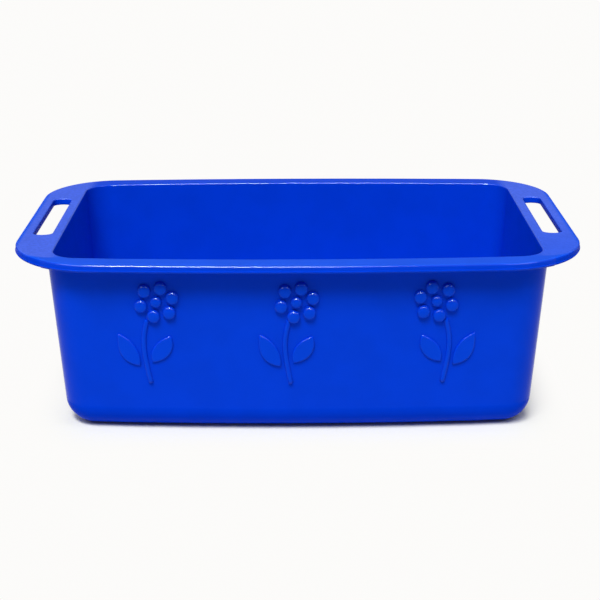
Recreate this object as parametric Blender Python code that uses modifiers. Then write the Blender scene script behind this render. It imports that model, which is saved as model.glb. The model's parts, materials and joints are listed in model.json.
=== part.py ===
"""A rectangular household basin with a slotted handle flange at each end, in glossy blue polypropylene.

The real basin is one injection moulding. Here each named region of it is a solid of its own: the
floor, the four walls, the four corners, the two narrow rims and the two handles. They meet along
thin seams. The origin is on the ground under the middle of the floor, +X runs along the length, the
three embossed flowers face -Y and +Z is up. Lengths are in metres.
"""

import math

import bmesh
import bpy
from mathutils import Matrix, Vector

# Height from the ground to the rim's top face
HEIGHT = 0.156

# The one thickness of the moulding, and the seam between two regions of it
WALL = 0.0028
SEAM = 0.0003

# The tub, measured outside at the level of the rim, and how far each wall leans in on its way down
TUB_LENGTH = 0.415
TUB_WIDTH = 0.2605
DRAFT = 0.009
TUB_CORNER_RADIUS = 0.024
BASE_FILLET = 0.94 * TUB_CORNER_RADIUS

# How far the middle of each long side stands out from its ends
BOW = 0.0075

# The flange: how far it reaches past the tub on a long side, plan radius at its corners, rounding of
# its top edges, depth of its turned-down edge
RIM_REACH = 0.01475
RIM_CORNER_RADIUS = 0.068
RIM_ROUND = 0.003
OPENING_ROUND = 0.0025
SKIRT_DEPTH = 0.0068

# The hand slot in each handle, the bars of flange outside and inside it, and the collar turned down
# round it
SLOT_LENGTH = 0.122
SLOT_WIDTH = 0.0164
SLOT_BULGE = 0.005
SLOT_SHIFT = 0.008
SLOT_OUTER_BAR = 0.0106
SLOT_INNER_BAR = 0.0055
SLOT_ROUND = 0.0008
COLLAR_DEPTH = 0.0056
COLLAR_WALL = 0.0018

# Overall size, over the handles and over the bowed rims
RIM_LENGTH = TUB_LENGTH + 2 * (SLOT_INNER_BAR + SLOT_WIDTH + SLOT_OUTER_BAR)
RIM_WIDTH = TUB_WIDTH + 2 * RIM_REACH

# The embossed flowers on the front wall, from the flower's centre disc
FLOWER_SPACING = 0.116
FLOWER_HEIGHT = 0.119
RELIEF = 0.0016
PETALS = 6
PETAL_RADIUS = 0.0054
PETAL_RING = 0.0134
PETAL_PHASE = math.radians(16)
PETAL_ROUND = 0.0007
DISC_RADIUS = 0.0048
STEM_RADIUS = 0.0019
STEM_POINTS = ((-0.0077, -0.0166), (-0.0107, -0.0310), (-0.0104, -0.0480), (-0.0058, -0.0725))
LEAF_RELIEF = 0.0010
LEAF_TIPS = ((-0.0308, -0.0305), (0.0114, -0.0318))
LEAF_BASES = ((-0.0147, -0.0575), (-0.0036, -0.0541))
LEAF_BELLIES = ((0.0058, 0.0085), (0.0080, 0.0062))
LEAF_FULLNESS = 0.8

BLUE = (0.002, 0.048, 0.60, 1.0)

# How finely the curves are divided
CORNER_STEPS = 8
BOW_STEPS = 10
BASE_STEPS = 6
RIM_ROUND_STEPS = 4
OPENING_ROUND_STEPS = 3
SLOT_END_STEPS = 6
SLOT_ROUND_STEPS = 2
PETAL_SIDES = 16
PETAL_ROUND_STEPS = 2
STEM_STEPS = 4
LEAF_STEPS = 7
ROUND_PROFILE = 0.5

# How far a cutter runs past what it cuts, and how close two heights count as one
CUTTER_MARGIN = 0.02
TOLERANCE = 1e-6


def clear_scene():
    for old in list(bpy.data.objects):
        bpy.data.objects.remove(old, do_unlink=True)


def new_collection(name):
    collection = bpy.data.collections.new(name)
    bpy.context.scene.collection.children.link(collection)
    return collection


def blue_plastic():
    material = bpy.data.materials.new("blue_polypropylene")
    material.use_nodes = True
    shader = material.node_tree.nodes["Principled BSDF"]
    shader.inputs["Base Color"].default_value = BLUE
    shader.inputs["Roughness"].default_value = 0.28
    shader.inputs["Metallic"].default_value = 0.0
    material.diffuse_color = BLUE
    return material


def add_object(name, bm, collection):
    mesh = bpy.data.meshes.new(name)
    bm.to_mesh(mesh)
    bm.free()
    made = bpy.data.objects.new(name, mesh)
    collection.objects.link(made)
    return made


def as_helper(made):
    made.hide_render = True
    made.display_type = "WIRE"
    return made


def baked(made, collection, name):
    """The object's evaluated mesh as a plain helper mesh with its caps welded."""
    graph = bpy.context.evaluated_depsgraph_get()
    mesh = bpy.data.meshes.new_from_object(made.evaluated_get(graph))
    bm = bmesh.new()
    bm.from_mesh(mesh)
    bm.transform(made.matrix_world)
    bmesh.ops.remove_doubles(bm, verts=bm.verts, dist=TOLERANCE)
    bmesh.ops.recalc_face_normals(bm, faces=bm.faces)
    bpy.data.objects.remove(made, do_unlink=True)
    bpy.data.meshes.remove(mesh)
    return as_helper(add_object(name, bm, collection))


def bowed(x, y, half_length, half_width):
    """A point of a rounded rectangle, moved out so that the long sides stand out by BOW in the middle."""
    share = min(1.0, abs(y) / half_width)
    return y + math.copysign(BOW * share * (1 - (x / half_length) ** 2), y)


def rounded_outline(half_length, half_width, radius):
    """The plan outline of the rim or the opening, with its long sides bowed, anticlockwise."""
    flat = half_width - BOW
    centre_x, centre_y = half_length - radius, flat - radius
    points = []
    for turn in range(4):
        sign_x = (1, -1, -1, 1)[turn]
        sign_y = (1, 1, -1, -1)[turn]
        for step in range(CORNER_STEPS + 1):
            angle = math.radians(90) * (turn + step / CORNER_STEPS)
            points.append((
                sign_x * centre_x + radius * math.cos(angle),
                sign_y * centre_y + radius * math.sin(angle),
            ))
        if turn in (0, 2):
            start = sign_x * centre_x
            for step in range(1, BOW_STEPS):
                points.append((start - 2 * start * step / BOW_STEPS, sign_y * flat))
    return [(x, bowed(x, y, half_length, flat)) for x, y in points]


def slot_outline(side, grow=0.0):
    """A hand slot's outline: straight long sides, and ends that bulge outwards in a flat arc."""
    centre_x = side * (RIM_LENGTH / 2 - SLOT_OUTER_BAR - SLOT_WIDTH / 2)
    half_width = SLOT_WIDTH / 2 + grow
    radius = (half_width**2 + SLOT_BULGE**2) / (2 * SLOT_BULGE)
    spread = math.asin(half_width / radius)
    points = []
    for end in (1, -1):
        top = end * (SLOT_LENGTH / 2 + grow) - end * radius
        for step in range(SLOT_END_STEPS + 1):
            angle = end * spread * (1 - 2 * step / SLOT_END_STEPS)
            points.append((
                centre_x + radius * math.sin(angle),
                SLOT_SHIFT + top + end * radius * math.cos(angle),
            ))
    return points


def stack(name, rings, collection):
    """A closed solid through a pile of like outlines, each at its own height, from the lowest up."""
    bm = bmesh.new()
    loops = []
    for outline, z in rings:
        verts = [bm.verts.new((x, y, z)) for x, y in outline]
        loops.append([bm.edges.new(pair) for pair in zip(verts, verts[1:] + verts[:1])])
    for low, high in zip(loops, loops[1:]):
        bmesh.ops.bridge_loops(bm, edges=low + high)
    for end in (loops[0], loops[-1]):
        bmesh.ops.edgeloop_fill(bm, edges=end)
    bmesh.ops.recalc_face_normals(bm, faces=bm.faces)
    return as_helper(add_object(name, bm, collection))


def rounding(radius, steps):
    """Pairs of (how far in, how far below the top) along a quarter round that ends flush with the top."""
    for step in range(steps + 1):
        angle = math.radians(90) * step / steps
        yield radius * (1 - math.cos(angle)), radius * (1 - math.sin(angle))


def lipped_cutter(name, outline, radius, steps, collection):
    """A cutter for a hole through the flange that leaves a rounded lip. outline takes how far to grow."""
    rings = [(outline(0), HEIGHT - SKIRT_DEPTH - CUTTER_MARGIN)]
    for grow, drop in rounding(radius, steps):
        rings.append((outline(grow), HEIGHT - drop))
    rings.append((outline(radius), HEIGHT + CUTTER_MARGIN))
    return stack(name, rings, collection)


def box(name, low, high, collection):
    bm = bmesh.new()
    bmesh.ops.create_cube(bm, size=1)
    size = [b - a for a, b in zip(low, high)]
    centre = [(a + b) / 2 for a, b in zip(low, high)]
    bm.transform(Matrix.Translation(centre) @ Matrix.Diagonal((*size, 1)))
    return add_object(name, bm, collection)


def add_boolean(made, operation, other):
    modifier = made.modifiers.new(f"{operation.lower()}_{other.name}", "BOOLEAN")
    modifier.operation = operation
    modifier.solver = "EXACT"
    modifier.object = other


def round_edges(bm, edges, radius, steps):
    bmesh.ops.bevel(
        bm, geom=edges, offset=radius, segments=steps, profile=ROUND_PROFILE, affect="EDGES"
    )


def tub_shell(collection):
    """The open tub: a tapered block with rounded corners, opened at the top, with its wall set inwards."""
    bm = bmesh.new()
    bmesh.ops.create_cube(bm, size=1)
    for vert in bm.verts:
        lean = 0 if vert.co.z > 0 else DRAFT
        vert.co.x = math.copysign(TUB_LENGTH / 2 - lean, vert.co.x)
        vert.co.y = math.copysign(TUB_WIDTH / 2 - BOW - lean, vert.co.y)
        vert.co.z = HEIGHT if vert.co.z > 0 else 0
    uprights = [e for e in bm.edges if abs(e.verts[0].co.z - e.verts[1].co.z) > HEIGHT / 2]
    round_edges(bm, uprights, TUB_CORNER_RADIUS, CORNER_STEPS)
    base_edges = [e for e in bm.edges if max(v.co.z for v in e.verts) < TOLERANCE]
    round_edges(bm, base_edges, BASE_FILLET, BASE_STEPS)
    span = TUB_LENGTH - 2 * DRAFT - 2 * TUB_CORNER_RADIUS
    for step in range(1, BOW_STEPS):
        cut_x = span * (step / BOW_STEPS - 0.5)
        bmesh.ops.bisect_plane(
            bm,
            geom=bm.verts[:] + bm.edges[:] + bm.faces[:],
            plane_co=(cut_x, 0, 0),
            plane_no=(1, 0, 0),
        )
    for vert in bm.verts:
        flat = TUB_WIDTH / 2 - BOW - DRAFT * (1 - vert.co.z / HEIGHT)
        vert.co.y = bowed(vert.co.x, vert.co.y, TUB_LENGTH / 2, flat)
    lid = [f for f in bm.faces if min(v.co.z for v in f.verts) > HEIGHT - TOLERANCE]
    bmesh.ops.delete(bm, geom=lid, context="FACES")
    made = add_object("tub_surface", bm, collection)
    thickness = made.modifiers.new("thickness", "SOLIDIFY")
    thickness.thickness = WALL
    thickness.offset = -1
    thickness.use_even_offset = True
    bpy.context.view_layer.update()
    return baked(made, collection, "tub_shell")


def rim_outline(inset):
    return rounded_outline(RIM_LENGTH / 2 - inset, RIM_WIDTH / 2 - inset, RIM_CORNER_RADIUS - inset)


def opening_outline(grow):
    inset = WALL - grow
    return rounded_outline(TUB_LENGTH / 2 - inset, TUB_WIDTH / 2 - inset, TUB_CORNER_RADIUS - inset)


def flange_shell(collection):
    """The rim all round the opening, with its turned-down skirt and the collars round both slots."""
    bottom = HEIGHT - SKIRT_DEPTH
    rings = [(rim_outline(0), bottom)]
    for inset, drop in rounding(RIM_ROUND, RIM_ROUND_STEPS):
        rings.append((rim_outline(inset), HEIGHT - drop))
    flange = stack("flange_block", rings, collection)
    under = bottom - CUTTER_MARGIN
    pocket = stack(
        "flange_pocket", [(rim_outline(WALL), under), (rim_outline(WALL), HEIGHT - WALL)], collection
    )
    add_boolean(flange, "DIFFERENCE", pocket)
    opening = lipped_cutter(
        "opening_cutter", opening_outline, OPENING_ROUND, OPENING_ROUND_STEPS, collection
    )
    add_boolean(flange, "DIFFERENCE", opening)
    for side in (-1, 1):
        edge = slot_outline(side, COLLAR_WALL)
        collar = stack(
            "collar_block", [(edge, HEIGHT - COLLAR_DEPTH), (edge, HEIGHT + CUTTER_MARGIN)], collection
        )
        add_boolean(pocket, "DIFFERENCE", collar)
        slot = lipped_cutter(
            "slot_cutter",
            lambda grow, side=side: slot_outline(side, grow),
            SLOT_ROUND,
            SLOT_ROUND_STEPS,
            collection,
        )
        add_boolean(flange, "DIFFERENCE", slot)
    bpy.context.view_layer.update()
    return baked(flange, collection, "flange_shell")


def front_face_frame(x, z):
    """The frame on the front wall's outer face at x and z: its X to the right, Y up the wall, Z out."""
    flat = TUB_WIDTH / 2 - BOW - DRAFT * (1 - z / HEIGHT)
    point = Vector((x, bowed(x, -flat, TUB_LENGTH / 2, flat), z))
    along = Vector((1, 2 * BOW * x / (TUB_LENGTH / 2) ** 2, 0)).normalized()
    up = Vector((0, -DRAFT / HEIGHT, 1)).normalized()
    out = along.cross(up).normalized()
    up = out.cross(along)
    rotation = Matrix((along, up, out)).transposed().to_4x4()
    return Matrix.Translation(point) @ rotation


def flower_discs(x, facing, collection):
    """The six round petals and the centre disc of one flower, standing on the wall."""
    bm = bmesh.new()
    places = [(0, 0, DISC_RADIUS)]
    for step in range(PETALS):
        angle = PETAL_PHASE + math.tau * step / PETALS
        places.append((PETAL_RING * math.cos(angle), PETAL_RING * math.sin(angle), PETAL_RADIUS))
    for across, up, radius in places:
        disc = bmesh.ops.create_cone(
            bm,
            cap_ends=True,
            segments=PETAL_SIDES,
            radius1=radius,
            radius2=radius,
            depth=RELIEF + WALL / 2,
            matrix=Matrix.Translation((facing * across, up, RELIEF / 2 - WALL / 4)),
        )
        top = {e for v in disc["verts"] for e in v.link_edges if min(w.co.z for w in e.verts) > 0}
        round_edges(bm, list(top), PETAL_ROUND, PETAL_ROUND_STEPS)
    bm.transform(front_face_frame(x, FLOWER_HEIGHT))
    return as_helper(add_object("flower_discs", bm, collection))


def flower_stem(x, facing, collection):
    """The stem of one flower, a round ridge that is half sunk in the wall."""
    curve = bpy.data.curves.new("stem", "CURVE")
    curve.dimensions = "3D"
    curve.bevel_depth = STEM_RADIUS
    curve.bevel_resolution = 1
    curve.use_fill_caps = True
    curve.resolution_u = STEM_STEPS
    spline = curve.splines.new("BEZIER")
    spline.bezier_points.add(len(STEM_POINTS) - 1)
    for point, (across, up) in zip(spline.bezier_points, STEM_POINTS):
        point.co = (facing * across, up, 0)
        point.handle_left_type = point.handle_right_type = "AUTO"
    made = bpy.data.objects.new("stem", curve)
    made.matrix_world = front_face_frame(x, FLOWER_HEIGHT)
    collection.objects.link(made)
    bpy.context.view_layer.update()
    return baked(made, collection, "flower_stem")


def leaf_outline(tip, base, bellies):
    """A pointed leaf between its tip and its base, with a different belly on each side."""
    tip, base = Vector(tip), Vector(base)
    along = base - tip
    across = Vector((-along.y, along.x)).normalized()
    points = []
    for start, belly in ((0, bellies[0]), (1, -bellies[1])):
        for step in range(LEAF_STEPS):
            share = abs(start - step / LEAF_STEPS)
            swell = math.sin(math.pi * share) ** LEAF_FULLNESS
            points.append(tip + along * share + across * belly * swell)
    return points


def flower_leaf(x, facing, tip, base, bellies, collection):
    outline = [(facing * p.x, p.y) for p in leaf_outline(tip, base, bellies)]
    leaf = stack("flower_leaf", [(outline, -WALL / 2), (outline, LEAF_RELIEF)], collection)
    leaf.data.transform(front_face_frame(x, FLOWER_HEIGHT))
    return leaf


def flower_reliefs(collection):
    """All raised shapes of the three flowers. The right-hand flower is the mirror of the other two."""
    reliefs = []
    for step, facing in ((-1, 1), (0, 1), (1, -1)):
        x = step * FLOWER_SPACING
        reliefs.append(flower_discs(x, facing, collection))
        reliefs.append(flower_stem(x, facing, collection))
        for tip, base, bellies in zip(LEAF_TIPS, LEAF_BASES, LEAF_BELLIES):
            reliefs.append(flower_leaf(x, facing, tip, base, bellies, collection))
    return reliefs


def add_region(name, low, high, shell, collection, material):
    """One named region of the moulding: the part of a shell that lies inside this box."""
    inset = SEAM / 2
    made = box(name, [a + inset for a in low], [b - inset for b in high], collection)
    add_boolean(made, "INTERSECT", shell)
    made.data.materials.append(material)
    return made


def build():
    clear_scene()
    parts = new_collection("basin")
    helpers = new_collection("basin_helpers")
    material = blue_plastic()
    tub = tub_shell(helpers)
    flange = flange_shell(helpers)

    # The tub is parted where its corners begin, and the flange above the same lines.
    corner_x = TUB_LENGTH / 2 - DRAFT - TUB_CORNER_RADIUS
    corner_y = TUB_WIDTH / 2 - BOW - DRAFT - TUB_CORNER_RADIUS
    far_x = RIM_LENGTH / 2 + CUTTER_MARGIN
    far_y = RIM_WIDTH / 2 + CUTTER_MARGIN
    below = -CUTTER_MARGIN
    top = HEIGHT - WALL
    spans_x = {"left": (-far_x, -corner_x), "": (-corner_x, corner_x), "right": (corner_x, far_x)}
    spans_y = {"front": (-far_y, -corner_y), "": (-corner_y, corner_y), "back": (corner_y, far_y)}
    for side_y, (y0, y1) in spans_y.items():
        for side_x, (x0, x1) in spans_x.items():
            where = "_".join(filter(None, (side_y, side_x)))
            name = f"corner_{where}" if side_x and side_y else f"{where}_wall" if where else "floor"
            region = add_region(name, (x0, y0, below), (x1, y1, top), tub, parts, material)
            if name == "front_wall":
                for relief in flower_reliefs(helpers):
                    add_boolean(region, "UNION", relief)

    skirt = HEIGHT - SKIRT_DEPTH - CUTTER_MARGIN
    above = HEIGHT + CUTTER_MARGIN
    for side_x in ("left", "right"):
        x0, x1 = spans_x[side_x]
        add_region(f"handle_{side_x}", (x0, -far_y, skirt), (x1, far_y, above), flange, parts, material)
    for side_y, y0, y1 in (("front", -far_y, 0), ("back", 0, far_y)):
        add_region(
            f"rim_{side_y}", (-corner_x, y0, skirt), (corner_x, y1, above), flange, parts, material
        )


build()
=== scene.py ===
"""A rectangular household basin in glossy blue polypropylene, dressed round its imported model.

The basin is one injection moulding: a tapered tub under a broad flange, with a hand slot in each
handle and three embossed flowers on the front. Lengths are in metres, +X along the basin, -Y to the
front and +Z up.
"""

import json
import math

import bmesh
import bpy
from mathutils import Matrix, Vector

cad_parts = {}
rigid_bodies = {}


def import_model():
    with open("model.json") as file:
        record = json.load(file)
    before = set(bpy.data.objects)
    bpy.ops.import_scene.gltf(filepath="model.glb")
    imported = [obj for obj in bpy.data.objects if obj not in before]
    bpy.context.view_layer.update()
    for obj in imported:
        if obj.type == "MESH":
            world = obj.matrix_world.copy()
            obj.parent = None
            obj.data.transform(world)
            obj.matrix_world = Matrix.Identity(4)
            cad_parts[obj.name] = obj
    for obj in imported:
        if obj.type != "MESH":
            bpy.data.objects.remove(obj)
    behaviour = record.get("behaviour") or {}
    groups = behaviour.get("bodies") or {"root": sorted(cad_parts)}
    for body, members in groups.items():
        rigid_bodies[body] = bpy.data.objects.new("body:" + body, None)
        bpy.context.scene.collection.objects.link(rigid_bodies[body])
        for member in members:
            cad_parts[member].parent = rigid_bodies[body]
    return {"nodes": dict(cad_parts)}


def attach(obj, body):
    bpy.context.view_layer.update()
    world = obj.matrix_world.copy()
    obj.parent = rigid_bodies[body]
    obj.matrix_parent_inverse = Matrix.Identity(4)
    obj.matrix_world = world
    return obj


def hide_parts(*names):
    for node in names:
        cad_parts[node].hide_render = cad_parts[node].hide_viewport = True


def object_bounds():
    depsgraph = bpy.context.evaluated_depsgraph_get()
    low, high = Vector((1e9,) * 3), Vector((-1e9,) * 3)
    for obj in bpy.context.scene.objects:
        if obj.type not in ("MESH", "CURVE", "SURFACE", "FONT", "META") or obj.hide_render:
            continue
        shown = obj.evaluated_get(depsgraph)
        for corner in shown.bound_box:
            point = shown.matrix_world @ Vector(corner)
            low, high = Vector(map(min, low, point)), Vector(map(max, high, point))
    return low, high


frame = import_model()
cad_low, cad_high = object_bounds()


# The photograph's viewpoint: just above the rim, square to the front and a touch left of the middle.
# The lens is given for a square picture.
camera_place = Vector((-0.0030, -1.2185, 0.4938))
camera_right = Vector((1.0, -0.0052, -0.0026))
camera_forward = Vector((0.0039, 0.9462, -0.3236))
SENSOR = 36.0
FOCAL_PIXELS = 1402
PICTURE_PIXELS = 600

bpy.ops.object.camera_add(location=camera_place)
camera = bpy.context.object
camera.name = "photo_camera"
camera.data.sensor_width = SENSOR
camera.data.lens = SENSOR * FOCAL_PIXELS / PICTURE_PIXELS
camera_up = camera_right.cross(camera_forward).normalized()
camera_right = camera_forward.cross(camera_up).normalized()
turn = Matrix((camera_right, camera_up, -camera_forward.normalized())).transposed()
camera.matrix_world = Matrix.Translation(camera_place) @ turn.to_4x4()
bpy.context.scene.camera = camera


# The tub, the lower half of the moulding. Its inner face is modelled as an open sheet, tapered for
# the mould, with round uprights and a round bottom edge. The sheet gets its wall later, with the rim.
HEIGHT = cad_high.z
WALL = 0.0028
TUB_HALF_LENGTH = 0.2065
TUB_HALF_WIDTH = 0.13025
DRAFT = 0.009
TUB_CORNER = 0.024
BASE_CORNER = 0.0225
BOW = 0.0075
FRONT_FOOT_BOW = 0.0100
CORNER_CUTS = 14
BASE_CUTS = 10
BOW_CUTS = 26
BOW_POINTS = 9
HAIR = 1e-6


def start_piece(name):
    """The primitive that was just added, under its own name, with its size and place in its mesh."""
    piece = bpy.context.object
    piece.name = name
    bpy.ops.object.transform_apply(location=True, rotation=True, scale=True)
    return piece


def pick(piece, kind, wanted):
    """In edit mode, select only the vertices, edges or faces for which wanted says yes."""
    bpy.ops.mesh.select_mode(type=kind)
    bpy.ops.mesh.select_all(action="DESELECT")
    bm = bmesh.from_edit_mesh(piece.data)
    for item in {"VERT": bm.verts, "EDGE": bm.edges, "FACE": bm.faces}[kind]:
        item.select_set(wanted(item))
    bmesh.update_edit_mesh(piece.data)


def cut_across(half_span):
    """Cut the piece in hand across its length at even steps, so that its long sides can bow."""
    for step in range(1, BOW_CUTS):
        bpy.ops.mesh.select_all(action="SELECT")
        bpy.ops.mesh.bisect(
            plane_co=(half_span * (2 * step / BOW_CUTS - 1), 0, 0), plane_no=(1, 0, 0)
        )


def bow_sides(piece, half_length, half_width, front_top=BOW, front_foot=BOW):
    """Bow the long sides out in the middle with a lattice that bulges as a parabola.

    The lattice is twice as high as the basin, so the front's bow at foot and top is spread over it.
    """
    bpy.ops.object.add(type="LATTICE", location=(0, 0, HEIGHT / 2))
    cage = bpy.context.object
    cage.scale = (2 * half_length, 2 * half_width, 2 * HEIGHT)
    cage.data.points_u, cage.data.points_v, cage.data.points_w = BOW_POINTS, 2, 2
    cage.data.interpolation_type_v = cage.data.interpolation_type_w = "KEY_LINEAR"
    cage.data.interpolation_type_u = "KEY_CARDINAL"
    for point in cage.data.points:
        front = front_foot + (front_top - front_foot) * (0.5 + 2 * point.co.z)
        reach = front if point.co.y < 0 else BOW
        bulge = reach / (2 * half_width) * (1 - (2 * point.co.x) ** 2)
        point.co_deform.y = point.co.y + math.copysign(bulge, point.co.y)
    modifier = piece.modifiers.new("bow", "LATTICE")
    modifier.object = cage
    bpy.context.view_layer.objects.active = piece
    bpy.ops.object.modifier_apply(modifier=modifier.name)
    bpy.data.objects.remove(cage)


bpy.ops.object.select_all(action="DESELECT")
inner_half_length = TUB_HALF_LENGTH - WALL
inner_half_width = TUB_HALF_WIDTH - WALL - BOW
bpy.ops.mesh.primitive_cube_add(
    size=1,
    location=(0, 0, (HEIGHT + WALL) / 2),
    scale=(2 * inner_half_length, 2 * inner_half_width, HEIGHT - WALL),
)
moulding = start_piece("basin_moulding")
bpy.ops.object.mode_set(mode="EDIT")
pick(moulding, "VERT", lambda v: v.co.z < HEIGHT / 2)
bpy.ops.transform.resize(
    value=(1 - DRAFT / inner_half_length, 1 - DRAFT / inner_half_width, 1),
    center_override=(0, 0, WALL),
)
pick(moulding, "EDGE", lambda e: abs(e.verts[0].co.z - e.verts[1].co.z) > HEIGHT / 2)
bpy.ops.mesh.bevel(offset=TUB_CORNER - WALL, segments=CORNER_CUTS)
pick(moulding, "EDGE", lambda e: max(v.co.z for v in e.verts) < WALL + HAIR)
bpy.ops.mesh.bevel(offset=BASE_CORNER - WALL, segments=BASE_CUTS)
cut_across(TUB_HALF_LENGTH - DRAFT - TUB_CORNER)
pick(moulding, "FACE", lambda f: min(v.co.z for v in f.verts) > HEIGHT - HAIR)
bpy.ops.mesh.delete(type="FACE")
bpy.ops.object.mode_set(mode="OBJECT")
bow_sides(moulding, TUB_HALF_LENGTH, inner_half_width, front_foot=FRONT_FOOT_BOW)


# The flange, the upper half of the moulding, which stiffens the opening and carries the handles. Its
# outline is a plate with round corners, bowed like the tub, and its edge turns down into a skirt.
RIM_HALF_LENGTH = cad_high.x
RIM_HALF_WIDTH = cad_high.y
RIM_CORNERS = (0.0695, 0.060)
RIM_ROUND = 0.002
LIP_ROUND = 0.0015
SKIRT_DEPTH = 0.0068
SKIRT_ROUND = 0.001
FRONT_RIM_BOW = 0.0096
SUPPORT = 0.001

flat_half_width = RIM_HALF_WIDTH - BOW
bpy.ops.mesh.primitive_plane_add(size=1, location=(0, 0, HEIGHT))
bpy.ops.transform.resize(value=(2 * RIM_HALF_LENGTH, 2 * flat_half_width, 1))
flange = start_piece("flange_sheet")
bpy.ops.object.mode_set(mode="EDIT")
for side, radius in zip((-1, 1), RIM_CORNERS):
    pick(flange, "VERT", lambda v: abs(v.co.y - side * flat_half_width) < HAIR)
    bpy.ops.mesh.bevel(offset=radius, segments=2 * CORNER_CUTS, affect="VERTICES")
cut_across(RIM_HALF_LENGTH - max(RIM_CORNERS))
pick(flange, "EDGE", lambda e: e.is_boundary)
bpy.ops.mesh.extrude_edges_move(TRANSFORM_OT_translate={"value": (0, 0, -SKIRT_DEPTH)})
pick(flange, "FACE", lambda f: abs(f.normal.z) > 0.5)
bpy.ops.mesh.inset(thickness=RIM_ROUND + SUPPORT)
bpy.ops.mesh.delete(type="FACE")
bpy.ops.object.mode_set(mode="OBJECT")
bow_sides(flange, RIM_HALF_LENGTH, flat_half_width, FRONT_RIM_BOW, FRONT_RIM_BOW)

# The top of the tub turns out into the flange, as far as the strip that its round lip needs.
bpy.ops.object.select_all(action="DESELECT")
bpy.context.view_layer.objects.active = moulding
bpy.ops.object.mode_set(mode="EDIT")
pick(moulding, "EDGE", lambda e: e.is_boundary)
bpy.ops.mesh.extrude_edges_move()
bpy.ops.transform.resize(
    value=(
        1 + (LIP_ROUND + SUPPORT) / inner_half_length,
        1 + (LIP_ROUND + SUPPORT) / inner_half_width,
        1,
    ),
    center_override=(0, 0, HEIGHT),
)
bpy.ops.object.mode_set(mode="OBJECT")


# The hand slots, one through each handle, set a little to the back. Each is a long hole with gently
# bulging ends and small round corners, and the moulding turns down round it into a collar.
SLOT_LENGTH = 0.122
SLOT_WIDTH = 0.0164
SLOT_BULGE = 0.005
SLOT_SHIFT = 0.008
SLOT_OUTER_BAR = 0.0106
SLOT_CORNER = 0.0032
SLOT_ROUND = 0.0014
SLOT_SUPPORT = 0.0006
COLLAR_DEPTH = 0.0062
SLOT_END_CUTS = 6
SLOT_CORNER_CUTS = 5
MERGE = 1e-5

slot_x = RIM_HALF_LENGTH - SLOT_OUTER_BAR - SLOT_WIDTH / 2
slot_strip = SLOT_ROUND + SLOT_SUPPORT
half_width = SLOT_WIDTH / 2 + slot_strip
end_y = SLOT_LENGTH / 2 + slot_strip
end_radius = (half_width**2 + SLOT_BULGE**2) / (2 * SLOT_BULGE)
bpy.ops.mesh.primitive_plane_add(size=1, location=(slot_x, SLOT_SHIFT, HEIGHT))
bpy.ops.transform.resize(value=(2 * half_width, 2 * (end_y - SLOT_BULGE), 1))
slot_right = start_piece("slot_sheet_right")
bpy.ops.object.mode_set(mode="EDIT")
pick(slot_right, "EDGE", lambda e: abs(e.verts[0].co.y - e.verts[1].co.y) < HAIR)
bpy.ops.mesh.delete(type="EDGE")
for end in (1, -1):
    pick(
        slot_right,
        "VERT",
        lambda v: end * (v.co.y - SLOT_SHIFT) > 0
        and end * (v.co.x - slot_x) > half_width / 2
        and abs(v.co.y - SLOT_SHIFT) < end_y - SLOT_BULGE + HAIR,
    )
    bpy.ops.mesh.spin(
        steps=SLOT_END_CUTS,
        angle=-2 * math.asin(half_width / end_radius),
        center=(slot_x, SLOT_SHIFT + end * (end_y - end_radius), HEIGHT),
        axis=(0, 0, 1),
    )
bpy.ops.mesh.select_all(action="SELECT")
bpy.ops.mesh.remove_doubles(threshold=MERGE)
bpy.ops.mesh.edge_face_add()
pick(slot_right, "VERT", lambda v: abs(abs(v.co.x - slot_x) - half_width) < HAIR)
bpy.ops.mesh.bevel(offset=SLOT_CORNER, segments=SLOT_CORNER_CUTS, affect="VERTICES")
bpy.ops.mesh.select_all(action="SELECT")
bpy.ops.mesh.inset(thickness=slot_strip)
bpy.ops.mesh.extrude_region_move(TRANSFORM_OT_translate={"value": (0, 0, -COLLAR_DEPTH)})
bpy.ops.mesh.delete(type="FACE")
bpy.ops.object.mode_set(mode="OBJECT")
bpy.ops.object.select_all(action="DESELECT")
slot_right.select_set(True)
bpy.ops.object.duplicate()
slot_left = bpy.context.object
slot_left.name = "slot_sheet_left"
slot_left.scale.x = -1
bpy.ops.object.transform_apply(location=False, rotation=False, scale=True)


# The one sheet gets its wall: tub, flange, skirt and collars are joined, the flat of the flange is
# filled in between them, and the wall goes to the outside. Then every edge gets its own rounding.
END_WALL_EXTRA = 0.0028
BEAD_HEIGHT = 0.0024
BEAD_DEPTH = 0.0005
INSIDE_ROUND = 0.0008
COLLAR_ROUND = 0.0008
SHARP = math.radians(60)
SMOOTH = math.radians(40)
UPRIGHT = 0.1


def level(z):
    """A test for edges that lie at this height."""
    return lambda e: all(abs(v.co.z - z) < MERGE for v in e.verts)


def is_sharp(edge):
    """Whether two faces meet at this edge at a clear angle."""
    return len(edge.link_faces) == 2 and edge.calc_face_angle() > SHARP


def round_off(test, radius, cuts):
    """Round the sharp edges of the moulding for which test says yes."""
    pick(moulding, "EDGE", lambda e: is_sharp(e) and test(e))
    bpy.ops.mesh.bevel(offset=radius, segments=cuts, loop_slide=False)


def round_the_tub(edge):
    """Whether an edge runs round the tub: within its own rounded outline, or a hair past it."""
    middle = (edge.verts[0].co + edge.verts[1].co) / 2
    past_x = max(abs(middle.x) - (TUB_HALF_LENGTH - TUB_CORNER), 0)
    past_y = max(abs(middle.y) - (TUB_HALF_WIDTH - TUB_CORNER), 0)
    return math.hypot(past_x, past_y) < TUB_CORNER + SUPPORT


def round_a_slot(edge):
    """Whether an edge belongs to a hand slot or its collar."""
    middle = (edge.verts[0].co + edge.verts[1].co) / 2
    return (
        abs(abs(middle.x) - slot_x) < half_width + WALL
        and abs(middle.y - SLOT_SHIFT) < end_y + WALL
    )


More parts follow.
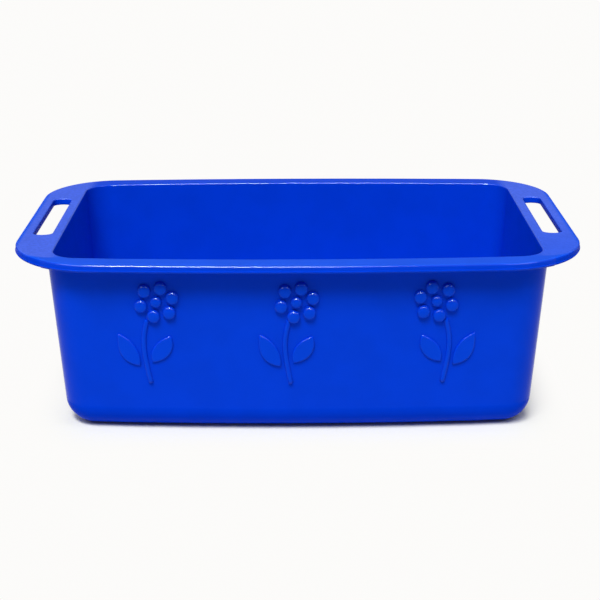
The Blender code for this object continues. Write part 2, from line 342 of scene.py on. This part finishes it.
bpy.ops.object.select_all(action="DESELECT")
for sheet in (flange, slot_left, slot_right, moulding):
    sheet.select_set(True)
bpy.context.view_layer.objects.active = moulding
bpy.ops.object.join()
bpy.ops.object.mode_set(mode="EDIT")
bpy.ops.mesh.select_all(action="SELECT")
bpy.ops.mesh.remove_doubles(threshold=MERGE)
at_top = level(HEIGHT)
pick(moulding, "EDGE", lambda e: e.is_boundary and at_top(e))
bpy.ops.mesh.fill(use_beauty=True)
bpy.ops.mesh.select_all(action="SELECT")
bpy.ops.mesh.normals_make_consistent(inside=False)
bpy.ops.object.mode_set(mode="OBJECT")
modifier = moulding.modifiers.new("wall", "SOLIDIFY")
modifier.thickness = WALL
modifier.offset = -1
modifier.use_even_offset = True
modifier.use_quality_normals = True
outside = moulding.vertex_groups.new(name="outside")
modifier.shell_vertex_group = outside.name
bpy.ops.object.modifier_apply(modifier=modifier.name)

# The outside of the tub is a little longer than its even wall would make it.
bpy.ops.object.mode_set(mode="EDIT")
bpy.ops.mesh.select_mode(type="VERT")
bpy.ops.mesh.select_all(action="DESELECT")
bpy.ops.object.vertex_group_select()
bm = bmesh.from_edit_mesh(moulding.data)
for vertex in bm.verts:
    on_the_rim = vertex.co.z > HEIGHT - WALL / 2
    past_the_end = abs(vertex.co.x) > TUB_HALF_LENGTH + SUPPORT
    past_the_side = abs(vertex.co.y) > TUB_HALF_WIDTH + SUPPORT
    if vertex.select and (on_the_rim or past_the_end or past_the_side):
        vertex.select_set(False)
bmesh.update_edit_mesh(moulding.data)
bpy.ops.transform.resize(
    value=(1 + END_WALL_EXTRA / TUB_HALF_LENGTH, 1, 1), center_override=(0, 0, 0)
)
round_off(lambda e: at_top(e) and round_the_tub(e), LIP_ROUND, 8)
round_off(lambda e: at_top(e) and round_a_slot(e), SLOT_ROUND, 4)
round_off(at_top, RIM_ROUND, 8)
round_off(level(HEIGHT - WALL), INSIDE_ROUND, 3)
round_off(level(HEIGHT - SKIRT_DEPTH), SKIRT_ROUND, 4)
round_off(level(HEIGHT - COLLAR_DEPTH), COLLAR_ROUND, 3)

# A small bead runs round the foot of the skirt.
bpy.ops.mesh.select_all(action="SELECT")
bpy.ops.mesh.bisect(plane_co=(0, 0, HEIGHT - SKIRT_DEPTH + BEAD_HEIGHT), plane_no=(0, 0, 1))
pick(
    moulding,
    "FACE",
    lambda f: abs(f.normal.z) < UPRIGHT
    and HEIGHT - SKIRT_DEPTH < f.calc_center_median().z < HEIGHT - SKIRT_DEPTH + BEAD_HEIGHT
    and f.normal.dot(f.calc_center_median()) > 0
    and not round_the_tub(f.edges[0])
    and not round_a_slot(f.edges[0]),
)
bpy.ops.mesh.inset(thickness=BEAD_DEPTH, depth=BEAD_DEPTH)
bpy.ops.object.mode_set(mode="OBJECT")
moulding.vertex_groups.clear()
bpy.ops.object.shade_smooth_by_angle(angle=SMOOTH)

# The plastic is dyed through, a saturated blue. The mould's polish shows on the walls. The flange is
# painted a shade paler on top, a painted sheen for the bright room it reflects and the light from
# above, and the two handle plates have the mould's fine matt texture and are painted paler yet, a
# painted sheen for the light they catch.
WALL_BLUE = (0.0003, 0.044, 0.645, 1)
FLANGE_SHEEN_BLUE = (0.008, 0.090, 0.79, 1)
HANDLE_SHEEN_BLUE = (0.064, 0.135, 0.76, 1)
# How much of the flange's painted sheen is left at the back.
BACK_SHEEN_SHARE = 0.35
GLOSSY = 0.12
MATT = 0.40
SHINE = 0.05
SHINE_TINT = (0.45, 0.85, 1, 1)
CLOUD_SCALE = 35
CLOUD_STEP = (0.3, 0.7)
CLOUD_DEPTH = 0.03
MOTTLE_SCALE = 420
MOTTLE_STEP = (0.35, 0.65)
MOTTLE_DEPTH = 0.07

# Where the looks change, each softly between two places. The plates start at the handles' inner ends
# and stop short of the round front corners, and all that lies beyond COLLARS is matt. The right plate's
# painted sheen fades towards the front, and the flange's painted sheen towards the back. TOP_EDGE keeps
# the painted sheen on top.
PLATE_START = (0.194, 0.206)
PLATE_CORNER = (0.2015, 0.0855)
PLATE_RADIUS = (0.033, 0.037)
COLLARS = (0.2110, 0.2125)
RIGHT_SHEEN_FADE = (0.04, -0.12)
FLANGE_SHEEN_FADE = (0.06, 0.12)
TOP_EDGE = (HEIGHT - 0.0010, HEIGHT - 0.00025)

plastic = bpy.data.materials.new("blue_polypropylene")
plastic.use_nodes = True
nodes, links = plastic.node_tree.nodes, plastic.node_tree.links
shader = nodes["Principled BSDF"]
shader.inputs["IOR"].default_value = 1.49
shader.inputs["Specular IOR Level"].default_value = SHINE
shader.inputs["Specular Tint"].default_value = SHINE_TINT


def add_node(kind, **settings):
    """A node of this kind in the tree at hand, with its numbered or named inputs and its settings."""
    node = nodes.new(kind)
    for name, value in settings.items():
        if name.startswith("at_"):
            node.inputs[int(name[3:])].default_value = value
        else:
            setattr(node, name, value)
    return node


def add_ramp(source, start, end, low, high):
    """A smooth step of the source between two of its values."""
    ramp = add_node("ShaderNodeMapRange", at_1=start, at_2=end, at_3=low, at_4=high)
    ramp.interpolation_type = "SMOOTHSTEP"
    links.new(source, ramp.inputs[0])
    return ramp.outputs[0]


def add_product(first, second):
    """Two numbers multiplied."""
    product = add_node("ShaderNodeMath", operation="MULTIPLY")
    links.new(first, product.inputs[0])
    links.new(second, product.inputs[1])
    return product.outputs[0]


def add_tint(fac, first, second):
    """A mix of two colours, each a socket or a plain colour."""
    tint = add_node("ShaderNodeMix", data_type="RGBA")
    links.new(fac, tint.inputs["Factor"])
    for socket, colour in ((tint.inputs[6], first), (tint.inputs[7], second)):
        if isinstance(colour, tuple):
            socket.default_value = colour
        else:
            links.new(colour, socket)
    return tint.outputs[2]


spot = nodes.new("ShaderNodeTexCoord").outputs["Object"]
split = nodes.new("ShaderNodeSeparateXYZ")
links.new(spot, split.inputs[0])
across = add_node("ShaderNodeMath", operation="ABSOLUTE")
links.new(split.outputs["X"], across.inputs[0])
towards_front = add_node("ShaderNodeMath", operation="MULTIPLY", at_1=-1.0)
links.new(split.outputs["Y"], towards_front.inputs[0])
past_corner = nodes.new("ShaderNodeCombineXYZ")
for index, (source, start) in enumerate(zip((across, towards_front), PLATE_CORNER)):
    past_start = add_node("ShaderNodeMath", operation="SUBTRACT", at_1=start)
    past_only = add_node("ShaderNodeMath", operation="MAXIMUM", at_1=0.0)
    links.new(source.outputs[0], past_start.inputs[0])
    links.new(past_start.outputs[0], past_only.inputs[0])
    links.new(past_only.outputs[0], past_corner.inputs[index])
corner_reach = add_node("ShaderNodeVectorMath", operation="LENGTH")
links.new(past_corner.outputs[0], corner_reach.inputs[0])
within = add_ramp(corner_reach.outputs["Value"], *PLATE_RADIUS, 1, 0)
on_top = add_ramp(split.outputs["Z"], *TOP_EDGE, 0, 1)
on_plate = add_product(add_product(add_ramp(across.outputs[0], *PLATE_START, 0, 1), within), on_top)
# The right plate's painted sheen fades halfway to the flange's painted sheen towards the front.
right_sheen_fade = add_product(
    add_ramp(split.outputs["Y"], *RIGHT_SHEEN_FADE, 0, 0.5), add_ramp(split.outputs["X"], *PLATE_START, 0, 1)
)

cloud = add_node("ShaderNodeTexNoise")
cloud.inputs["Scale"].default_value = CLOUD_SCALE
cloud.inputs["Detail"].default_value = 3
mottle = add_node("ShaderNodeTexNoise")
mottle.inputs["Scale"].default_value = MOTTLE_SCALE
mottle.inputs["Detail"].default_value = 3
links.new(spot, cloud.inputs["Vector"])
links.new(spot, mottle.inputs["Vector"])
# The painted sheen on top of the flange, less of it towards the back.
painted_top_sheen = add_product(on_top, add_ramp(split.outputs["Y"], *FLANGE_SHEEN_FADE, 1, BACK_SHEEN_SHARE))
blue = add_tint(painted_top_sheen, WALL_BLUE, FLANGE_SHEEN_BLUE)
# The handle plates' painted sheen, with the matt texture's random mottle.
matt_sheen_blue = add_tint(
    add_ramp(mottle.outputs["Fac"], *MOTTLE_STEP, 0, 1),
    tuple((1 - MOTTLE_DEPTH) * part for part in HANDLE_SHEEN_BLUE[:3]) + (1,),
    tuple((1 + MOTTLE_DEPTH) * part for part in HANDLE_SHEEN_BLUE[:3]) + (1,),
)
# On the plates the handles' painted sheen takes over; on the right plate it fades towards the front.
blue = add_tint(on_plate, blue, add_tint(right_sheen_fade, matt_sheen_blue, FLANGE_SHEEN_BLUE))
shade = add_ramp(cloud.outputs["Fac"], *CLOUD_STEP, 1 - CLOUD_DEPTH, 1 + CLOUD_DEPTH)
dye = add_node("ShaderNodeVectorMath", operation="SCALE")
links.new(blue, dye.inputs[0])
links.new(shade, dye.inputs["Scale"])
links.new(dye.outputs[0], shader.inputs["Base Color"])
matt_area = add_node("ShaderNodeMath", operation="MAXIMUM")
links.new(on_plate, matt_area.inputs[0])
links.new(add_ramp(across.outputs[0], *COLLARS, 0, 1), matt_area.inputs[1])
polish = add_node("ShaderNodeMapRange", at_1=0.0, at_2=1.0, at_3=GLOSSY, at_4=MATT)
links.new(matt_area.outputs[0], polish.inputs[0])
links.new(add_product(polish.outputs[0], shade), shader.inputs["Roughness"])
grain = add_node("ShaderNodeBump")
grain.inputs["Strength"].default_value = 0.05
grain.inputs["Distance"].default_value = 0.0001
links.new(mottle.outputs["Fac"], grain.inputs["Height"])
links.new(grain.outputs["Normal"], shader.inputs["Normal"])
moulding.data.materials.append(plastic)


def vary_plastic(name, shine, tint):
    """A copy of the plastic with another strength and tint of its shine."""
    variant = plastic.copy()
    variant.name = name
    surface = variant.node_tree.nodes["Principled BSDF"]
    surface.inputs["Specular IOR Level"].default_value = shine
    surface.inputs["Specular Tint"].default_value = tint
    return variant


# The mould's best polish is on the rounded edges: the rim's upper edge and the lip of the opening. The
# dullest parts are the foot's rounding, worn by the ground, and the handles' skirt and collars. Their
# faces are told by their place, and by how much of their normal points up or to the front.
EDGE_SLOPES = (0.25, 0.98)
FACES_FRONT = 0.4

polished = vary_plastic("blue_polypropylene_polished", 0.8, (0.8, 0.95, 1, 1))
polished.node_tree.nodes[grain.name].inputs["Strength"].default_value = 0.01
moulding.data.materials.append(polished)
moulding.data.materials.append(vary_plastic("blue_polypropylene_dull", 0.008, SHINE_TINT))
bpy.ops.object.select_all(action="DESELECT")
bpy.context.view_layer.objects.active = moulding
bpy.ops.object.mode_set(mode="EDIT")
pick(
    moulding,
    "FACE",
    lambda f: EDGE_SLOPES[0] < f.normal.z < EDGE_SLOPES[1]
    and f.calc_center_median().z > HEIGHT - RIM_ROUND
    and (
        f.normal.y < -FACES_FRONT
        if round_a_slot(f.edges[0])
        else abs(f.calc_center_median().x) < COLLARS[0]
    ),
)
moulding.active_material_index = 1
bpy.ops.object.material_slot_assign()
pick(
    moulding,
    "FACE",
    lambda f: (f.normal.z < -UPRIGHT and f.calc_center_median().z < BASE_CORNER)
    or (
        f.normal.z < EDGE_SLOPES[0]
        and f.calc_center_median().z > HEIGHT - SKIRT_DEPTH - WALL
        and abs(f.calc_center_median().x) > COLLARS[0]
    ),
)
moulding.active_material_index = 2
bpy.ops.object.material_slot_assign()
bpy.ops.object.mode_set(mode="OBJECT")
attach(moulding, "root")
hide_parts(*frame["nodes"])


# Three flowers, moulded in one with the front wall: six round petals about a disc, a curved stem and
# a leaf to each side. They are modelled flat, stood on the leaning wall, and bowed with it.
FLOWER_SPACING = 0.1158
FLOWER_SHIFT = -0.0015
FLOWER_HEIGHT = 0.1194
STALK_SHIFT = 0.0019
STALK_DEPTH = 0.04
SUNK = 0.001
PETAL_RELIEF = 0.0040
PETAL_ROUND = 0.0024
PETAL_RINGS = 3
PETAL_DOME = 0.0002
PETAL_SIZE = (0.0109, 0.0115)
DISC_SIZE = (0.0096, 0.0096)
PETALS = (
    (-0.0093, 0.0096), (0.0041, 0.0120), (0.0137, 0.0038),
    (0.0108, -0.0093), (-0.0023, -0.0128), (-0.0126, -0.0037),
)
LEAF_RELIEF = 0.0020
LEAF_ROUND = 0.0014
STEM_WIDTH = 0.0047
STEM_TAPER = 0.9
STEM = (
    (-0.0080, -0.0166), (-0.0118, -0.0306), (-0.0128, -0.0390), (-0.0114, -0.0490), (-0.0068, -0.0734),
)


def add_button(name, centre, size):
    """A round-edged, slightly domed oval button that stands on the wall and is sunk into it."""
    bpy.ops.object.select_all(action="DESELECT")
    bpy.ops.mesh.primitive_cylinder_add(
        vertices=36, radius=0.5, depth=1,
        location=(*centre, (PETAL_RELIEF - SUNK) / 2),
    )
    bpy.ops.transform.resize(value=(*size, PETAL_RELIEF + SUNK))
    button = start_piece(name)
    bpy.ops.object.mode_set(mode="EDIT")
    pick(button, "EDGE", lambda e: all(v.co.z > PETAL_RELIEF - HAIR for v in e.verts))
    bpy.ops.mesh.bevel(offset=PETAL_ROUND, segments=6)
    pick(button, "FACE", lambda f: f.normal.z > 0.999)
    for ring in range(PETAL_RINGS):
        bpy.ops.mesh.inset(thickness=(size[0] / 2 - PETAL_ROUND) / (PETAL_RINGS + 0.4))
        bpy.ops.transform.translate(value=(0, 0, PETAL_DOME / (ring + 1)))
    bpy.ops.object.mode_set(mode="OBJECT")
    return button


def close_curve():
    """Make the active curve a closed mesh, with the points of its caps and tips merged."""
    bpy.ops.object.convert(target="MESH")
    bpy.ops.object.transform_apply(location=True, rotation=True, scale=True)
    bpy.ops.object.mode_set(mode="EDIT")
    bpy.ops.mesh.select_all(action="SELECT")
    bpy.ops.mesh.remove_doubles(threshold=HAIR)
    bpy.ops.mesh.normals_make_consistent(inside=False)
    bpy.ops.object.mode_set(mode="OBJECT")


def add_leaf(name, tip, base, upper, lower):
    """A pointed leaf: a flat curve from tip to base and back, made thick with a rounded edge."""
    bpy.ops.object.select_all(action="DESELECT")
    bpy.ops.curve.primitive_bezier_curve_add()
    leaf = bpy.context.object
    leaf.name = name
    leaf.data.dimensions = "2D"
    leaf.data.fill_mode = "BOTH"
    leaf.data.resolution_u = 16
    leaf.data.extrude = (LEAF_RELIEF + SUNK) / 2 - LEAF_ROUND
    leaf.data.bevel_depth = LEAF_ROUND
    leaf.data.bevel_resolution = 3
    spline = leaf.data.splines[0]
    spline.use_cyclic_u = True
    for point, place, before, after in (
        (spline.bezier_points[0], tip, lower[0], upper[0]),
        (spline.bezier_points[1], base, upper[1], lower[1]),
    ):
        point.handle_left_type = point.handle_right_type = "FREE"
        point.co = (*place, 0)
        point.handle_left = (*before, 0)
        point.handle_right = (*after, 0)
    leaf.location.z = (LEAF_RELIEF - SUNK) / 2
    close_curve()
    return leaf


def add_stem():
    """A thin round ridge, slightly tapered to both ends."""
    bpy.ops.object.select_all(action="DESELECT")
    bpy.ops.curve.primitive_nurbs_path_add()
    stem = bpy.context.object
    stem.name = "flower_stem"
    stem.data.resolution_u = 10
    stem.data.bevel_depth = STEM_WIDTH / 2
    stem.data.bevel_resolution = 3
    stem.data.use_fill_caps = True
    for point, place in zip(stem.data.splines[0].points, STEM):
        point.co = (*place, 0, 1)
    stem.data.splines[0].points[0].radius = STEM_TAPER
    stem.data.splines[0].points[-1].radius = STEM_TAPER
    close_curve()
    return stem


lean = math.atan(DRAFT / (HEIGHT - WALL))
face_y = -(TUB_HALF_WIDTH - BOW - DRAFT * (HEIGHT - FLOWER_HEIGHT) / (HEIGHT - WALL))
parts = [add_button("flower_disc", (0, 0), DISC_SIZE)]
parts += [add_button("flower_petal", centre, PETAL_SIZE) for centre in PETALS]
parts.append(add_stem())
parts.append(add_leaf(
    "flower_leaf_a", (-0.0315, -0.0308), (-0.0162, -0.0562),
    ((-0.0230, -0.0342), (-0.0150, -0.0445)), ((-0.0335, -0.0475), (-0.0270, -0.0548)),
))
parts.append(add_leaf(
    "flower_leaf_b", (0.0105, -0.0320), (-0.0038, -0.0530),
    ((0.0000, -0.0360), (-0.0062, -0.0442)), ((0.0146, -0.0415), (0.0076, -0.0522)),
))
bpy.ops.object.select_all(action="DESELECT")
for part in parts:
    part.select_set(True)
bpy.context.view_layer.objects.active = parts[0]
bpy.ops.object.join()

# The flower's rounded edges that face up the wall are as polished as the rim.
flower = bpy.context.object
flower.data.materials.clear()
flower.data.materials.append(vary_plastic("blue_polypropylene_raised", 0.15, (0.15, 0.85, 1, 1)))
flower.data.materials.append(polished)
bpy.ops.object.mode_set(mode="EDIT")
pick(flower, "FACE", lambda f: f.normal.y > 0.3 and f.normal.z > 0.2)
flower.active_material_index = 1
bpy.ops.object.material_slot_assign()
bpy.ops.object.mode_set(mode="OBJECT")

# The right flower is the mirror image, and the middle one's stem and leaves stand a little aside.
# They are told by reaching STALK_DEPTH below the flower's middle, which no petal does.
for name, middle, stalk_shift, mirrored in (
    ("flower_left", FLOWER_SHIFT - FLOWER_SPACING, 0, 1),
    ("flower_middle", FLOWER_SHIFT, STALK_SHIFT, 1),
    ("flower_right", FLOWER_SHIFT + FLOWER_SPACING, 0, -1),
):
    bpy.ops.object.select_all(action="DESELECT")
    flower.select_set(True)
    bpy.context.view_layer.objects.active = flower
    bpy.ops.object.duplicate()
    relief = bpy.context.object
    relief.name = name
    relief.scale.x = mirrored
    relief.rotation_euler.x = math.pi / 2 + lean
    relief.location = (middle, face_y, FLOWER_HEIGHT)
    bpy.ops.object.transform_apply(location=True, rotation=True, scale=True)
    bpy.ops.object.mode_set(mode="EDIT")
    pick(relief, "VERT", lambda v: v.co.z < FLOWER_HEIGHT - STALK_DEPTH)
    bpy.ops.mesh.select_linked()
    bpy.ops.transform.translate(value=(stalk_shift, 0, 0))
    bpy.ops.mesh.select_all(action="SELECT")
    bpy.ops.mesh.normals_make_consistent(inside=False)
    bpy.ops.object.mode_set(mode="OBJECT")
    bow_sides(relief, TUB_HALF_LENGTH, TUB_HALF_WIDTH - BOW, front_foot=FRONT_FOOT_BOW)
    bpy.ops.object.shade_smooth_by_angle(angle=SMOOTH)
    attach(relief, "root")
bpy.data.objects.remove(flower)


# The studio: a plain white floor, a dim grey room, and soft lamps in front and above, most of them to
# the left. The floor shows near its own white, and the basin's shadow on it fades out a few
# centimetres away.
FLOOR_WHITE = (0.974, 0.967182, 0.95452, 1)
FLOOR_PAPER = (0.87, 0.87, 0.783, 1)
FLOOR_BOUNCE = (0.65, 0.65, 0.65, 1)
SHADOW_REACH = 0.045
SHADOW_FADE = 2.5

bpy.ops.object.select_all(action="DESELECT")
bpy.ops.mesh.primitive_plane_add(size=16, location=(0, 0, 0))
floor = start_piece("studio_floor")
paper = bpy.data.materials.new("white_paper")
paper.use_nodes = True
nodes, links = paper.node_tree.nodes, paper.node_tree.links
card = nodes["Principled BSDF"]
card.inputs["Roughness"].default_value = 0.9
card.inputs["Specular IOR Level"].default_value = 0
glow = nodes.new("ShaderNodeEmission")
glow.inputs["Color"].default_value = FLOOR_WHITE
path = nodes.new("ShaderNodeLightPath")
seen = add_node("ShaderNodeMath", operation="MAXIMUM")
glossy = add_node("ShaderNodeMath", operation="MAXIMUM")
links.new(path.outputs["Is Glossy Ray"], glossy.inputs[0])
links.new(path.outputs["Is Transmission Ray"], glossy.inputs[1])
links.new(path.outputs["Is Camera Ray"], seen.inputs[0])
links.new(glossy.outputs[0], seen.inputs[1])
links.new(add_tint(seen.outputs[0], FLOOR_BOUNCE, FLOOR_PAPER), card.inputs["Base Color"])

# The distance from the foot's round-cornered outline says how much of the shadow is left.
quarter = add_node("ShaderNodeVectorMath", operation="ABSOLUTE")
past_foot = add_node("ShaderNodeVectorMath", operation="SUBTRACT", at_1=(
    TUB_HALF_LENGTH - DRAFT - TUB_CORNER, TUB_HALF_WIDTH - DRAFT - TUB_CORNER, 0
))
outside_only = add_node("ShaderNodeVectorMath", operation="MAXIMUM", at_1=(0, 0, 0))
distance = add_node("ShaderNodeVectorMath", operation="LENGTH")
links.new(nodes.new("ShaderNodeTexCoord").outputs["Object"], quarter.inputs[0])
links.new(quarter.outputs[0], past_foot.inputs[0])
links.new(past_foot.outputs[0], outside_only.inputs[0])
links.new(outside_only.outputs[0], distance.inputs[0])
near = add_node(
    "ShaderNodeMapRange", at_1=TUB_CORNER, at_2=TUB_CORNER + SHADOW_REACH, at_3=1.0, at_4=0.0
)
links.new(distance.outputs["Value"], near.inputs[0])
share = add_node("ShaderNodeMath", operation="POWER", at_1=SHADOW_FADE)
links.new(near.outputs[0], share.inputs[0])
clear = add_node("ShaderNodeMath", operation="SUBTRACT", at_0=1.0)
links.new(share.outputs[0], clear.inputs[1])
blend = nodes.new("ShaderNodeMixShader")
links.new(add_product(clear.outputs[0], seen.outputs[0]), blend.inputs["Fac"])
links.new(card.outputs["BSDF"], blend.inputs[1])
links.new(glow.outputs["Emission"], blend.inputs[2])
links.new(blend.outputs["Shader"], nodes["Material Output"].inputs["Surface"])
floor.data.materials.append(paper)

room = bpy.data.worlds.new("studio_room")
room.use_nodes = True
room.node_tree.nodes["Background"].inputs["Color"].default_value = (0.14, 0.14, 0.14, 1)
bpy.context.scene.world = room
for name, elevation, azimuth, spread, strength in (
    ("lamp_key_left", 62, -118, 10, 0.9),
    ("lamp_key_near_left", 58, -105, 10, 0.85),
    ("lamp_key_middle", 53, -94, 10, 0.75),
    ("lamp_key_right", 48, -86, 9, 0.2),
    ("lamp_side_left", 48, -140, 35, 0.65),
    ("lamp_side_right", 48, -40, 35, 0.45),
):
    up, about = math.radians(elevation), math.radians(azimuth)
    towards = Vector((math.cos(up) * math.cos(about), math.cos(up) * math.sin(about), math.sin(up)))
    bpy.ops.object.light_add(type="SUN", location=2 * towards)
    lamp = bpy.context.object
    lamp.name = name
    lamp.rotation_euler = towards.to_track_quat("Z", "Y").to_euler()
    lamp.data.angle = math.radians(spread)
    lamp.data.energy = strength

bpy.context.scene.view_settings.view_transform = "Standard"
